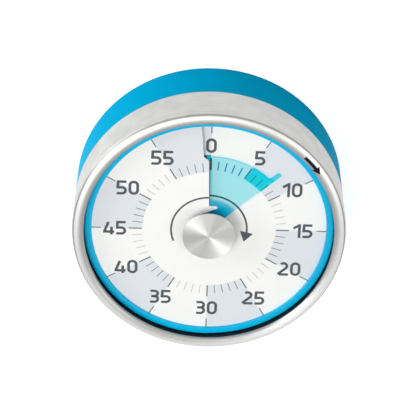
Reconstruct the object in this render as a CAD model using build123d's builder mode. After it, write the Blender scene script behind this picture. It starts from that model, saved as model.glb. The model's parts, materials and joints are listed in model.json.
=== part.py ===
from build123d import *
from math import acos, cos, degrees, pi, radians, sin, sqrt, tan
import os

os.makedirs("parts", exist_ok=True)

# A 60 minute clockwork countdown timer, lying on its back with the dial facing +Z.
# The origin is the centre of the back face, +Y is the dial's 0 and +X is its 15.
# Minutes run clockwise seen from +Z, so a dial angle is measured clockwise from +Y in degrees.
# A spiral dial with a radial slot lets a coloured disc of the same pitch wind out over it.

# ---- driving dimensions, millimetres ----

# case and turning ring, inwards from the outside
BODY_R = 40.0            # case, steel ring and bead
CASE_WALL = 2.0
SHOULDER_T = 2.0         # step between the case wall and its neck
NECK_WALL = 2.0
NECK_H = 5.0             # neck above the shoulder
CASE_EDGE = 0.4          # rounding of the back edge
STEEL_T = 0.8            # drawn steel ring
BEAD_W = 3.45            # bead, from the outside to the edge of its lip
BEAD_H = 1.9             # crest above the straight part of the band
GROOVE_R = 0.16          # fine groove on the bead's shoulder
GROOVE_ANGLE = 43.0      # place of the groove, upwards from the band round the shoulder
RING_GAP = 0.3           # running gap between ring and shoulder
DRIVE_W = 1.6            # inward flange of the driving ring
DRIVE_WALL = 0.55
SEAT_SETBACK = 0.45      # lens seat behind the bead's lip
SEAT_H = 2.7
RIM_GAP = 0.3            # fixed dial rim to the turning lens seat
RIM_W = 2.2
RIM_OVER = 0.05          # dial rim above the highest point of the dial
RIM_ROUND = 0.6

# heights, upwards from the back
FLOOR_T = 2.6
BELL_CLEAR = 0.3
BELL_HEAD_H = 0.9        # head of the bell screw
BELL_T = 0.7
BELL_POST_H = 3.9
PLATE_T = 1.0
PLATE_SPACE = 8.0        # between the movement plates
BOSS_H = 3.1             # front plate to the deck of the dial frame
DECK_T = 1.5
DISC_CLEAR = 0.875       # deck to the lowest the disc ever comes
PITCH = 1.3              # rise of dial and disc in one turn
DIAL_T = 0.4
FILM_T = 0.25
LENS_CLEAR = 0.575       # highest the disc ever comes to the lens
LENS_T = 0.8
LIP_T = 0.3
BEAD_RISE = 1.0          # bead crest above the lip
NECK_DROP = 1.5          # neck top below the deck

# dial and disc
SLOT_STEP_R = 24.5       # the slot steps sideways here
SLOT_STEP_IN = 1.2       # how far the step slants inwards to the narrow part
SLOT_WIDE = 4.8          # slot edge outside the step, degrees before 0
SLOT_NARROW = 1.4        # slot edge inside the step
SLOT_CORNER = 0.7
LOW_LAP = 8.0            # low end of the dial runs on under the high end
DIAL_HOLE_R = 5.8
TONGUE_R = 8.2           # inner end of the slot, outside of the tongue that runs past it
TONGUE_END_R = 8.4       # corner where the tongue narrows to its tip, then its dial angle
TONGUE_END = 13.0
TONGUE_TIP_R = 8.1
TONGUE_TIP = 18.0
TONGUE_ROOT = 22.0       # the tongue's inner edge leaves the hole, degrees before 0
DISC_R = 24.3
POINTER_R = 27.8
POINTER_W = 1.4
POINTER_ROUND = 0.8      # rounding where the pointer leaves the disc
REST_MINUTES = 8.0       # setting that the timer shows at rest
DISC_SPAN = 358.0
HUB_R = 5.3
HUB_OVER = 0.05
SQUARE = 5.0             # square drive that the hub slides on
SQUARE_PLAY = 0.05
RIB_COUNT = 12
RIB_W = 1.2
RIB_LENGTH = 3.0

# knob, lens and arbor
KNOB_R = 7.7
KNOB_T = 1.65
KNOB_UNDERCUT = 1.0
KNOB_CHAMFER = 0.15
STEM_R = 2.9
SLEEVE_FLANGE_R = 4.5
SLEEVE_FLANGE_T = 0.4
JOURNAL_R = 3.5
JOURNAL_H = 1.6
ARBOR_R = 1.4
ARBOR_PIVOT_R = 1.0
ARBOR_TOP = 0.8          # arbor above the deck
KNOB_PIN_GAP = 0.2

# movement
PLATE_R = 23.0
PILLAR_R = 1.5
PILLAR_CIRCLE = 20.0
PILLAR_ANGLES = (20.0, 130.0, 325.0)
PILLAR_SPIGOT_R = 1.0
BOSS_R = 2.6
BOSS_CIRCLE = 20.5
BOSS_ANGLES = (50.0, 170.0, 300.0)
MAIN_TEETH, SECOND_PINION_TEETH, FIRST_MODULE = 60, 10, 0.4
SECOND_TEETH, THIRD_PINION_TEETH, SECOND_MODULE = 45, 9, 0.35
THIRD_TEETH, ESCAPE_PINION_TEETH, THIRD_MODULE = 40, 8, 0.3
SECOND_ANGLE = 200.0     # place of the second arbor round the main one
THIRD_CIRCLE = 15.5
ESCAPE_CIRCLE = 19.0
BALANCE_CIRCLE = 20.5
BALANCE_DISTANCE = 7.0   # escape arbor to balance arbor
WHEEL_T = 0.6
MAIN_WHEEL_T = 0.8
WHEEL_HOLES = 5          # lightening holes in each wheel, then their circle and radius
MAIN_HOLE_CIRCLE, MAIN_HOLE_R = 7.8, 1.6
SECOND_HOLE_CIRCLE, SECOND_HOLE_R = 5.0, 1.5
THIRD_HOLE_CIRCLE, THIRD_HOLE_R = 3.8, 1.2
ESCAPE_HOLE_CIRCLE, ESCAPE_HOLE_R = 2.3, 0.8
BARREL_CLEAR = 0.3       # barrel to ratchet wheel
RATCHET_CLEAR = 0.2      # ratchet wheel to main wheel
PIN_CLEAR = 0.2          # lifting pin to the second wheel
THIRD_WHEEL_DROP = 1.8   # third wheel below the main wheel
ESCAPE_WHEEL_RISE = 1.0  # escape wheel above the back plate
BALANCE_RISE = 1.2       # balance wheel above the third wheel
PINION_OVER = 0.5        # pinion past its wheel
SHAFT_R = 0.6
PIVOT_R = 0.4
COLLAR_R = 1.2
COLLAR_H = 0.6
ARBOR_COLLAR_R = 2.0
ESCAPE_TEETH = 15
ESCAPE_R = 5.0
ESCAPE_DEPTH = 1.3
BALANCE_R = 4.5
BALANCE_RIM = 1.1
BALANCE_T = 0.8
BALANCE_SPOKE_W = 0.9
PALLET_ARM_W = 0.9
PALLET_SPAN = 52.0       # half angle between the pallets, seen from the balance arbor
PALLET_SWING = 6.0       # how far the balance rocks each way
PALLET_GAP = 0.1         # pallets clear of the escape wheel's tips at the end of a swing
BARREL_R = 8.5
BARREL_H = 3.9
BARREL_WALL = 0.5
SPRING_T = 0.25
SPRING_H = 2.8
SPRING_TURNS = 7
SPRING_STEP = 30         # degrees between the points that draw the spiral
RATCHET_TEETH = 12
RATCHET_R = 4.0
RATCHET_DEPTH = 0.7
RATCHET_T = 0.6
CLICK_CIRCLE = 7.0
CLICK_ANGLE = 75.0
CLICK_PIN_R = 0.5
CLICK_W = 1.4
CLICK_GAP = 0.1          # click's tip off the ratchet
LIFT_PIN_R = 0.3         # pin on the main wheel that lifts the hammer
LIFT_PIN_CIRCLE = 10.5
LIFT_PIN_H = 0.6         # above the main wheel
LIFT_BEFORE = 4.5        # degrees before 0 at which the pin stands under the lever's tip

# bell and hammer
BELL_R = 21.0
BELL_H = 3.8
BELL_ROUND = 1.4
BELL_POST_R = 2.5
BELL_FLANGE_R = 4.5
BELL_FLANGE_T = 1.0
BELL_SCREW_R = 1.2
BELL_HEAD_R = 2.4
BELL_SCREW_LENGTH = 3.6
HAMMER_CIRCLE = 17.0
HAMMER_ANGLE = 75.0
HAMMER_REACH = 25.0      # head clockwise of the hammer arbor, degrees round the bell
HAMMER_HEAD_R = 1.3
HAMMER_HUB_R = 1.4
HAMMER_GAP = 0.4         # head off the bell at rest
HAMMER_RISE = 0.9        # hammer above the floor of the bell
HAMMER_T = 1.2
HAMMER_ARM_W = 1.2
LEVER_REACH = 22.4       # lever's tip counter-clockwise of the hammer arbor, degrees
LEVER_W = 0.6
LEVER_T = 0.5
LEVER_CLEAR = 0.1        # lever above the main wheel
HAMMER_SHAFT_R = 0.7
COIL_WIRE_R = 0.2
COIL_PLAY = 0.2          # hammer spring round its shaft
COIL_PITCH = 0.5
COIL_TURNS = 5
COIL_RISE = 1.2          # hammer spring above the back plate

# back of the case
BACK_RIM = 4.0
COVER_T = 0.6
MAGNET_R = 5.0
MAGNET_T = 1.5
MAGNET_CIRCLE = 24.0
MAGNET_COUNT = 4
POST_R = 2.6
POST_COUNT = 4
POST_WALL_GAP = 0.4
CASE_SCREW_R = 1.1
CASE_SCREW_LENGTH = 8.0
CASE_HEAD_R = 2.2
CASE_HEAD_H = 1.3
SMALL_SCREW_R = 0.8
SMALL_HEAD_R = 1.5
SMALL_HEAD_H = 0.8
SMALL_SCREW_LENGTH = 3.0
FRAME_SCREW_R = 1.0
SCREW_SLOT_LENGTH = 1.7  # length and width are shares of the head's radius
SCREW_SLOT_WIDTH = 0.25
SCREW_SLOT_DEPTH = 0.4   # a share of the head's height
RETAINER_T = 1.0
RETAINER_W = 1.15
RETAINER_SPLIT = 1.15
RETAINER_DROP = 0.4
GROOVE_DEPTH = 0.3
FLANGE_T = 1.6
SKIRT_H = 3.0
SKIRT_W = 1.8

# clearances
FIT = 0.05               # pieces pushed together by hand
SEAM = 0.02              # pieces pressed or glued together
RUN = 0.1                # large pieces that turn on each other
SCREW_PLAY = 0.1         # clearance hole round a screw or its head
LENS_PLAY = 0.2          # lens in the steel ring

# gear teeth
PRESSURE = radians(25)
ADDENDUM = 0.7
DEDENDUM = 1.05
TOOTH_SHARE = 0.44       # tooth as a share of the tooth pitch, the rest is backlash
FLANK_POINTS = 4

# ---- heights that follow ----
bell_z = FLOOR_T + BELL_CLEAR + BELL_HEAD_H
back_plate_z = bell_z + BELL_T + BELL_POST_H
train_z = back_plate_z + PLATE_T
front_plate_z = train_z + PLATE_SPACE
front_plate_top = front_plate_z + PLATE_T
deck_z = front_plate_top + BOSS_H
deck_top = deck_z + DECK_T
film_gap = (PITCH - DIAL_T - FILM_T) / 2
dial_zero = deck_top + DISC_CLEAR + PITCH - film_gap      # top of the dial at 0
film_high = dial_zero + film_gap + FILM_T + PITCH
lens_z = film_high + LENS_CLEAR
lens_top = lens_z + LENS_T
lip_under = lens_top + FIT
lip_z = lip_under + LIP_T
top_z = lip_z + BEAD_RISE
bead_z = top_z - BEAD_H
rim_top = dial_zero + PITCH + RIM_OVER
neck_top = deck_z - NECK_DROP
case_top = neck_top - NECK_H
ring_z = case_top + RING_GAP
retainer_top = neck_top - RETAINER_DROP
retainer_z = retainer_top - RETAINER_T
flange_top = retainer_z - RUN
seat_z = lens_z - SEAT_H

# ---- radii that follow ----
ring_bore = BODY_R - STEEL_T
lip_r = BODY_R - BEAD_W
crest_r = (BODY_R + lip_r) / 2
shoulder_w = BODY_R - crest_r
seat_r = lip_r + SEAT_SETBACK
rim_r = seat_r - RIM_GAP
dial_bore = rim_r - RIM_W
dial_r = dial_bore - FIT
drive_bore = ring_bore - DRIVE_W
neck_r = drive_bore - RUN
neck_bore = neck_r - NECK_WALL
post_circle = neck_bore - POST_R - POST_WALL_GAP
skirt_r = neck_bore - RUN
recess_r = BODY_R - BACK_RIM
lens_r = ring_bore - LENS_PLAY

# ---- the gear train ----
first_distance = FIRST_MODULE * (MAIN_TEETH + SECOND_PINION_TEETH) / 2
second_distance = SECOND_MODULE * (SECOND_TEETH + THIRD_PINION_TEETH) / 2
third_distance = THIRD_MODULE * (THIRD_TEETH + ESCAPE_PINION_TEETH) / 2


def at(radius, angle):
    """A point at a radius and an angle in degrees counter-clockwise from +X."""
    return Vector(radius * cos(radians(angle)), radius * sin(radians(angle)))


def on_dial(radius, angle):
    """A point at a radius and a dial angle, clockwise from +Y."""
    return at(radius, 90 - angle)


def angle_between(near, far, apart):
    """Angle at the main arbor between two arbors whose distance from each other is known."""
    return degrees(acos((near**2 + far**2 - apart**2) / (2 * near * far)))


def bearing(start, end):
    """Direction from one point to another, degrees from +X."""
    return Vector(1, 0).get_signed_angle(end - start, Vector(0, 0, 1))


third_angle = SECOND_ANGLE + angle_between(first_distance, THIRD_CIRCLE, second_distance)
escape_angle = third_angle + angle_between(THIRD_CIRCLE, ESCAPE_CIRCLE, third_distance)
balance_angle = escape_angle + angle_between(ESCAPE_CIRCLE, BALANCE_CIRCLE, BALANCE_DISTANCE)
main_at = Vector(0, 0)
second_at = at(first_distance, SECOND_ANGLE)
third_at = at(THIRD_CIRCLE, third_angle)
escape_at = at(ESCAPE_CIRCLE, escape_angle)
balance_at = at(BALANCE_CIRCLE, balance_angle)
hammer_at = at(HAMMER_CIRCLE, HAMMER_ANGLE)

# levels between the plates
ratchet_z = train_z + BARREL_H + BARREL_CLEAR
main_wheel_z = ratchet_z + RATCHET_T + RATCHET_CLEAR
main_wheel_top = main_wheel_z + MAIN_WHEEL_T
lever_z = main_wheel_top + LEVER_CLEAR
second_wheel_z = main_wheel_top + LIFT_PIN_H + PIN_CLEAR
third_wheel_z = main_wheel_z - THIRD_WHEEL_DROP
escape_wheel_z = train_z + ESCAPE_WHEEL_RISE
balance_rim_z = third_wheel_z + WHEEL_T + BALANCE_RISE


def involute(angle):
    return tan(angle) - angle


def gear_outline(teeth, module, turn):
    """Corners of a spur gear with involute flanks, one tooth centred on the angle turn."""
    pitch_r = module * teeth / 2
    base_r = pitch_r * cos(PRESSURE)
    tip_r = pitch_r + ADDENDUM * module
    root_r = pitch_r - DEDENDUM * module
    half_tooth = pi * TOOTH_SHARE / teeth
    start_r = max(base_r, root_r)
    flank = []
    for step in range(FLANK_POINTS):
        radius = start_r + (tip_r - start_r) * step / (FLANK_POINTS - 1)
        half = half_tooth + involute(PRESSURE) - involute(acos(base_r / radius))
        flank.append((radius, degrees(half)))
    if root_r < start_r:
        flank.insert(0, (root_r, flank[0][1]))
    corners = []
    for tooth in range(teeth):
        centre = turn + 360 * tooth / teeth
        corners += [at(radius, centre - half) for radius, half in flank]
        corners += [at(radius, centre + half) for radius, half in reversed(flank)]
    return corners


def saw_outline(teeth, tip_r, root_r, turn):
    """Corners of a wheel with radial-faced saw teeth."""
    corners = []
    for tooth in range(teeth):
        start = turn + 360 * tooth / teeth
        corners += [at(tip_r, start), at(root_r, start)]
    return corners


def wheel(corners, centre, z, thickness, bore_r, hole_circle=0, hole_r=0, first_hole=0):
    """A flat wheel with a bore and, if a hole radius is given, a ring of lightening holes."""
    with BuildPart() as disc:
        with BuildSketch(Plane(origin=(centre.X, centre.Y, z))):
            with BuildLine():
                Polyline(*corners, close=True)
            make_face()
            Circle(bore_r, mode=Mode.SUBTRACT)
            if hole_r:
                with PolarLocations(hole_circle, WHEEL_HOLES, start_angle=first_hole):
                    Circle(hole_r, mode=Mode.SUBTRACT)
        extrude(amount=thickness)
    return disc


def pinion(corners, centre, z, length, collar_z, collar_h):
    """A pinion cut on its arbor, with a collar that its wheel seats on and a pivot in each plate."""
    with BuildPart() as cut:
        with BuildSketch(Plane(origin=(centre.X, centre.Y, z))):
            with BuildLine():
                Polyline(*corners, close=True)
            make_face()
        extrude(amount=length)
        with BuildSketch(Plane(origin=(centre.X, centre.Y, collar_z))):
            Circle(COLLAR_R)
        extrude(amount=collar_h)
        with BuildSketch(Plane(origin=(centre.X, centre.Y, train_z + FIT))):
            Circle(SHAFT_R)
        extrude(amount=PLATE_SPACE - 2 * FIT)
        with BuildSketch(Plane(origin=(centre.X, centre.Y, back_plate_z + FIT))):
            Circle(PIVOT_R)
        extrude(amount=PLATE_SPACE + 2 * PLATE_T - 2 * FIT)
    return cut


def screw_group(places, head_z, head_r, head_h, shaft_r, length, up):
    """Identical screws, with their heads at head_z and their shafts pointing up or down."""
    with BuildPart() as screws:
        with BuildSketch(Plane.XY.offset(head_z)):
            with Locations(*places):
                Circle(head_r)
        extrude(amount=head_h)
        with BuildSketch(Plane.XY.offset(head_z + (head_h if up else 0))):
            with Locations(*places):
                Circle(shaft_r)
        extrude(amount=length if up else -length)
        slot_z = head_z if up else head_z + head_h
        with BuildSketch(Plane.XY.offset(slot_z)):
            with Locations(*places):
                Rectangle(SCREW_SLOT_LENGTH * head_r, SCREW_SLOT_WIDTH * head_r)
        slot_depth = SCREW_SLOT_DEPTH * head_h
        extrude(amount=slot_depth if up else -slot_depth, mode=Mode.SUBTRACT)
    return screws


def helical_sheet(inner_r, outer_r, thickness, start, span, zero_z):
    """Sheet that rises one pitch in each clockwise turn; its top is at zero_z at dial angle 0."""
    middle_r = (inner_r + outer_r) / 2
    start_at = on_dial(middle_r, start)
    along = on_dial(1, start + 90)
    start_z = zero_z - thickness / 2 + PITCH * start / 360
    with BuildPart() as sheet:
        with BuildLine():
            climb = Helix(
                PITCH, PITCH * span / 360, middle_r, (0, 0, start_z), lefthand=True, mode=Mode.PRIVATE)
            add(climb, rotation=90 - start)
        with BuildSketch(Plane(origin=(start_at.X, start_at.Y, start_z), x_dir=start_at, z_dir=along)):
            Rectangle(outer_r - inner_r, thickness)
        sweep(is_frenet=True)
    return sheet


def write(builder, name):
    builder.part.label = name
    export_step(builder.part, f"parts/{name}.step")


# ---- case ----

post_places = [at(post_circle, 45 + 360 * i / POST_COUNT) for i in range(POST_COUNT)]
magnet_places = [at(MAGNET_CIRCLE, 360 * i / MAGNET_COUNT) for i in range(MAGNET_COUNT)]

with BuildPart() as rear_housing:
    with BuildSketch():
        Circle(BODY_R)
    extrude(amount=case_top)
    fillet(rear_housing.edges().group_by(Axis.Z)[0], CASE_EDGE)
    with BuildSketch(Plane.XY.offset(case_top)):
        Circle(neck_r)
    extrude(amount=NECK_H)
    with BuildSketch(Plane.XY.offset(FLOOR_T)):
        Circle(BODY_R - CASE_WALL)
    extrude(amount=case_top - SHOULDER_T - FLOOR_T, mode=Mode.SUBTRACT)
    with BuildSketch(Plane.XY.offset(FLOOR_T)):
        Circle(neck_bore)
    extrude(amount=neck_top - FLOOR_T, mode=Mode.SUBTRACT)
    with BuildSketch(Plane.XY.offset(retainer_z - FIT)):
        Circle(neck_r)
        Circle(neck_r - GROOVE_DEPTH, mode=Mode.SUBTRACT)
    extrude(amount=RETAINER_T + 2 * FIT, mode=Mode.SUBTRACT)
    with BuildSketch():
        Circle(recess_r)
    extrude(amount=COVER_T, mode=Mode.SUBTRACT)
    with BuildSketch(Plane.XY.offset(COVER_T)):
        with Locations(*magnet_places):
            Circle(MAGNET_R + FIT)
    extrude(amount=MAGNET_T + FIT, mode=Mode.SUBTRACT)
    with BuildSketch(Plane.XY.offset(COVER_T)):
        with Locations(*post_places):
            Circle(CASE_HEAD_R + SCREW_PLAY)
    extrude(amount=CASE_HEAD_H, mode=Mode.SUBTRACT)
    with BuildSketch():
        with Locations(*post_places):
            Circle(CASE_SCREW_R + SCREW_PLAY)
    extrude(amount=FLOOR_T, mode=Mode.SUBTRACT)
write(rear_housing, "rear_housing")

with BuildPart() as back_cover:
    with BuildSketch():
        Circle(recess_r - FIT)
    extrude(amount=COVER_T - SEAM)
write(back_cover, "back_cover")

with BuildPart() as magnets:
    with BuildSketch(Plane.XY.offset(COVER_T)):
        with Locations(*magnet_places):
            Circle(MAGNET_R)
    extrude(amount=MAGNET_T)
write(magnets, "magnets")

case_screw_length = FLOOR_T + CASE_SCREW_LENGTH - COVER_T - CASE_HEAD_H - FIT
case_screws = screw_group(
    post_places, COVER_T, CASE_HEAD_R, CASE_HEAD_H, CASE_SCREW_R, case_screw_length, True)
write(case_screws, "case_screws")

with BuildPart() as retaining_ring:
    with BuildSketch(Plane.XY.offset(retainer_z)):
        Circle(neck_r - GROOVE_DEPTH + FIT + RETAINER_W)
        Circle(neck_r - GROOVE_DEPTH + FIT, mode=Mode.SUBTRACT)
        with Locations((neck_r, 0)):
            Rectangle(4 * RETAINER_W, RETAINER_SPLIT, mode=Mode.SUBTRACT)
    extrude(amount=RETAINER_T)
write(retaining_ring, "retaining_ring")

# ---- dial frame, dial and disc ----

boss_places = [at(BOSS_CIRCLE, angle) for angle in BOSS_ANGLES]
rib_step = 360 / RIB_COUNT

with BuildPart() as dial_frame:
    with BuildSketch(Plane.XY.offset(neck_top)):
        Circle(rim_r)
    extrude(amount=rim_top - neck_top)
    fillet(dial_frame.edges().group_by(Axis.Z)[-1], RIM_ROUND)
    with BuildSketch(Plane.XY.offset(deck_top)):
        Circle(dial_bore)
    extrude(amount=rim_top - deck_top, mode=Mode.SUBTRACT)
    with BuildSketch(Plane.XY.offset(neck_top - SKIRT_H)):
        Circle(skirt_r)
    extrude(amount=SKIRT_H)
    with BuildSketch(Plane.XY.offset(neck_top - SKIRT_H)):
        Circle(skirt_r - SKIRT_W)
    extrude(amount=deck_z - neck_top + SKIRT_H, mode=Mode.SUBTRACT)
    with BuildSketch(Plane.XY.offset(FLOOR_T)):
        with Locations(*post_places):
            Circle(POST_R)
    extrude(amount=deck_z - FLOOR_T)
    with BuildSketch(Plane.XY.offset(FLOOR_T)):
        with Locations(*post_places):
            Circle(CASE_SCREW_R + SEAM)
    extrude(amount=CASE_SCREW_LENGTH, mode=Mode.SUBTRACT)
    with BuildSketch(Plane.XY.offset(front_plate_top)):
        with Locations(*boss_places):
            Circle(BOSS_R)
    extrude(amount=BOSS_H)
    with BuildSketch(Plane.XY.offset(front_plate_top)):
        with Locations(*boss_places):
            Circle(FRAME_SCREW_R + SCREW_PLAY)
    extrude(amount=BOSS_H + DECK_T, mode=Mode.SUBTRACT)
    with BuildSketch(Plane.XY.offset(deck_top - SMALL_HEAD_H - FIT)):
        with Locations(*boss_places):
            Circle(SMALL_HEAD_R + SCREW_PLAY)
    extrude(amount=SMALL_HEAD_H + FIT, mode=Mode.SUBTRACT)
    with BuildSketch(Plane.XY.offset(deck_z)):
        Circle(JOURNAL_R + RUN)
    extrude(amount=DECK_T, mode=Mode.SUBTRACT)
    for rib in range(RIB_COUNT):
        angle = rib_step * (rib + 0.5)
        rib_top = dial_zero - DIAL_T + PITCH * angle / 360 - SEAM
        rib_at = on_dial(dial_bore - RIB_LENGTH / 2, angle)
        with BuildSketch(Plane(origin=(rib_at.X, rib_at.Y, deck_top), x_dir=rib_at, z_dir=(0, 0, 1))):
            Rectangle(RIB_LENGTH + RIM_W, RIB_W)
        extrude(amount=rib_top - deck_top)
write(dial_frame, "dial_frame")

frame_head_z = deck_top - SMALL_HEAD_H
frame_screw_length = frame_head_z - front_plate_z - FIT
frame_screws = screw_group(
    boss_places, frame_head_z, SMALL_HEAD_R, SMALL_HEAD_H, FRAME_SCREW_R, frame_screw_length, False)
write(frame_screws, "frame_screws")

dial_sheet = helical_sheet(DIAL_HOLE_R, dial_r, DIAL_T, -LOW_LAP, 360 + LOW_LAP + TONGUE_TIP, dial_zero)
slot_z = dial_zero + film_gap          # between the low and the high end of the dial
outside_r = 2 * BODY_R                 # anywhere beyond the dial

with BuildPart() as dial_plate:
    add(dial_sheet.part)
    # the low end starts at 0 inside the step of the slot
    with BuildSketch(Plane.XY.offset(slot_z)):
        with BuildLine():
            Line(on_dial(0, 0), on_dial(SLOT_STEP_R, -2 * LOW_LAP))
            RadiusArc(on_dial(SLOT_STEP_R, -2 * LOW_LAP), on_dial(SLOT_STEP_R, 0), SLOT_STEP_R)
            Line(on_dial(SLOT_STEP_R, 0), on_dial(0, 0))
        make_face()
    extrude(amount=-PITCH, mode=Mode.SUBTRACT)
    # the high end is cut back outside the step, and runs on as a tongue round the hub
    step_corners = [on_dial(SLOT_STEP_R - SLOT_STEP_IN, -SLOT_NARROW), on_dial(SLOT_STEP_R, -SLOT_WIDE)]
    with BuildSketch(Plane.XY.offset(slot_z)) as high_end:
        with BuildLine():
            Polyline(
                on_dial(TONGUE_R, -SLOT_NARROW), *step_corners, on_dial(outside_r, -SLOT_WIDE),
                on_dial(outside_r, 2 * TONGUE_TIP), on_dial(DIAL_HOLE_R / 2, 2 * TONGUE_TIP),
                on_dial(DIAL_HOLE_R, -TONGUE_ROOT), on_dial(TONGUE_TIP_R, TONGUE_TIP),
                on_dial(TONGUE_END_R, TONGUE_END), close=True)
        make_face()
        for corner in step_corners:
            fillet(high_end.vertices().sort_by_distance((corner.X, corner.Y, slot_z))[0], SLOT_CORNER)
    extrude(amount=2 * PITCH, mode=Mode.SUBTRACT)
write(dial_plate, "dial_plate")

rest_angle = 6 * REST_MINUTES
film_zero = dial_zero + film_gap + FILM_T
film_sheet = helical_sheet(HUB_R + SEAM, POINTER_R, FILM_T, rest_angle - DISC_SPAN, DISC_SPAN, film_zero)

finger_r = POINTER_R - POINTER_W / 2

with BuildPart() as time_disc:
    add(film_sheet.part)
    along_edge = Plane(origin=(0, 0, 0), x_dir=on_dial(1, rest_angle), z_dir=(0, 0, 1))
    with BuildSketch(along_edge, mode=Mode.PRIVATE) as outline:
        Circle(DISC_R)
        with Locations((finger_r / 2, POINTER_W / 2)):
            Rectangle(finger_r, POINTER_W)
        with Locations((finger_r, POINTER_W / 2)):
            Circle(POINTER_W / 2)
        inner_corner = Vector(sqrt(DISC_R**2 - POINTER_W**2), POINTER_W)
        fillet(outline.vertices().sort_by_distance(inner_corner)[0], POINTER_ROUND)
    with BuildSketch():
        Circle(outside_r)
        add(outline.sketch, mode=Mode.SUBTRACT)
    extrude(amount=top_z, mode=Mode.SUBTRACT)
write(time_disc, "time_disc")

hub_low = film_zero - FILM_T + PITCH * (rest_angle - DISC_SPAN) / 360 - HUB_OVER
hub_high = film_zero + PITCH * rest_angle / 360 + HUB_OVER
with BuildPart() as disc_hub:
    with BuildSketch(Plane.XY.offset(hub_low)):
        Circle(HUB_R)
        Rectangle(SQUARE + 2 * SQUARE_PLAY, SQUARE + 2 * SQUARE_PLAY, mode=Mode.SUBTRACT)
    extrude(amount=hub_high - hub_low)
write(disc_hub, "disc_hub")

# ---- turning head: steel ring, seat, lens, knob and drive ----

with BuildPart() as steel_ring:
    with BuildSketch(Plane.XZ):
        with BuildLine():
            Line((ring_bore, ring_z), (BODY_R, ring_z))
            Line((BODY_R, ring_z), (BODY_R, bead_z))
            EllipticalCenterArc((crest_r, bead_z), shoulder_w, BEAD_H, 0, arc_size=90)
            EllipticalCenterArc((crest_r, lip_z), crest_r - lip_r, BEAD_RISE, 90, arc_size=90)
            Line((lip_r, lip_z), (lip_r, lip_under))
            Line((lip_r, lip_under), (ring_bore, lip_under))
            Line((ring_bore, lip_under), (ring_bore, ring_z))
        make_face()
        groove = radians(GROOVE_ANGLE)
        with Locations((crest_r + shoulder_w * cos(groove), bead_z + BEAD_H * sin(groove))):
            Circle(GROOVE_R, mode=Mode.SUBTRACT)
    revolve(axis=Axis.Z)
write(steel_ring, "steel_ring")

with BuildPart() as drive_ring:
    with BuildSketch(Plane.XY.offset(ring_z + RING_GAP)):
        Circle(ring_bore - FIT)
        Circle(ring_bore - FIT - DRIVE_WALL, mode=Mode.SUBTRACT)
    extrude(amount=seat_z - ring_z - RING_GAP)
    with BuildSketch(Plane.XY.offset(flange_top - FLANGE_T)):
        Circle(ring_bore - FIT)
        Circle(drive_bore, mode=Mode.SUBTRACT)
    extrude(amount=FLANGE_T)
write(drive_ring, "drive_ring")

with BuildPart() as lens_seat:
    with BuildSketch(Plane.XY.offset(seat_z)):
        Circle(ring_bore - FIT)
        Circle(seat_r, mode=Mode.SUBTRACT)
    extrude(amount=SEAT_H)
write(lens_seat, "lens_seat")

with BuildPart() as lens:
    with BuildSketch(Plane.XY.offset(lens_z)):
        Circle(lens_r)
        Circle(STEM_R + FIT, mode=Mode.SUBTRACT)
    extrude(amount=LENS_T)
write(lens, "lens")

journal_z = deck_z + RUN
journal_top = journal_z + JOURNAL_H
sleeve_top = lens_z - SLEEVE_FLANGE_T
arbor_top = deck_top + ARBOR_TOP
knob_z = lens_top
knob_top = knob_z + KNOB_T

with BuildPart() as knob:
    with BuildSketch(Plane.XZ):
        with BuildLine():
            Polyline(
                (0, arbor_top + KNOB_PIN_GAP), (ARBOR_R, arbor_top + KNOB_PIN_GAP), (ARBOR_R, lens_z),
                (STEM_R, lens_z), (STEM_R, knob_z), (KNOB_R - KNOB_UNDERCUT, knob_z),
                (KNOB_R, knob_top - 2 * KNOB_CHAMFER), (KNOB_R, knob_top - KNOB_CHAMFER),
                (KNOB_R - KNOB_CHAMFER, knob_top), (0, knob_top), close=True)
        make_face()
    revolve(axis=Axis.Z)
write(knob, "knob")

with BuildPart() as drive_sleeve:
    with BuildSketch(Plane.XY.offset(journal_z)):
        Circle(JOURNAL_R)
    extrude(amount=JOURNAL_H)
    with BuildSketch(Plane.XY.offset(journal_top)):
        Rectangle(SQUARE, SQUARE)
    extrude(amount=sleeve_top - journal_top)
    with BuildSketch(Plane.XY.offset(sleeve_top)):
        Circle(SLEEVE_FLANGE_R)
    extrude(amount=SLEEVE_FLANGE_T)
    with BuildSketch(Plane.XY.offset(journal_z)):
        Circle(ARBOR_R + SEAM)
    extrude(amount=lens_z - journal_z, mode=Mode.SUBTRACT)
write(drive_sleeve, "drive_sleeve")

with BuildPart() as main_arbor:
    with BuildSketch(Plane.XY.offset(train_z + FIT)):
        Circle(ARBOR_R)
    extrude(amount=arbor_top - train_z - FIT)
    with BuildSketch(Plane.XY.offset(back_plate_z + FIT)):
        Circle(ARBOR_PIVOT_R)
    extrude(amount=PLATE_T)
    with BuildSketch(Plane.XY.offset(main_wheel_top + SEAM)):
        Circle(ARBOR_COLLAR_R)
    extrude(amount=COLLAR_H)
write(main_arbor, "main_arbor")

# ---- wheels ----

click_at = at(CLICK_CIRCLE, CLICK_ANGLE)
# a turn of the head by -rest_angle brings the dial to 0, and turns the wheel counter-clockwise
lift_pin_at = at(LIFT_PIN_CIRCLE, HAMMER_ANGLE + LEVER_REACH - rest_angle + LIFT_BEFORE)
main_blank = wheel(
    gear_outline(MAIN_TEETH, FIRST_MODULE, SECOND_ANGLE), main_at, main_wheel_z, MAIN_WHEEL_T,
    ARBOR_R + FIT, MAIN_HOLE_CIRCLE, MAIN_HOLE_R, CLICK_ANGLE + 180 / WHEEL_HOLES)
with BuildPart() as main_wheel:
    add(main_blank.part)
    with BuildSketch(Plane.XY.offset(main_wheel_z)):
        with Locations(click_at):
            Circle(CLICK_PIN_R + SEAM)
        with Locations(lift_pin_at):
            Circle(LIFT_PIN_R + SEAM)
    extrude(amount=MAIN_WHEEL_T, mode=Mode.SUBTRACT)
write(main_wheel, "main_wheel")

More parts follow.
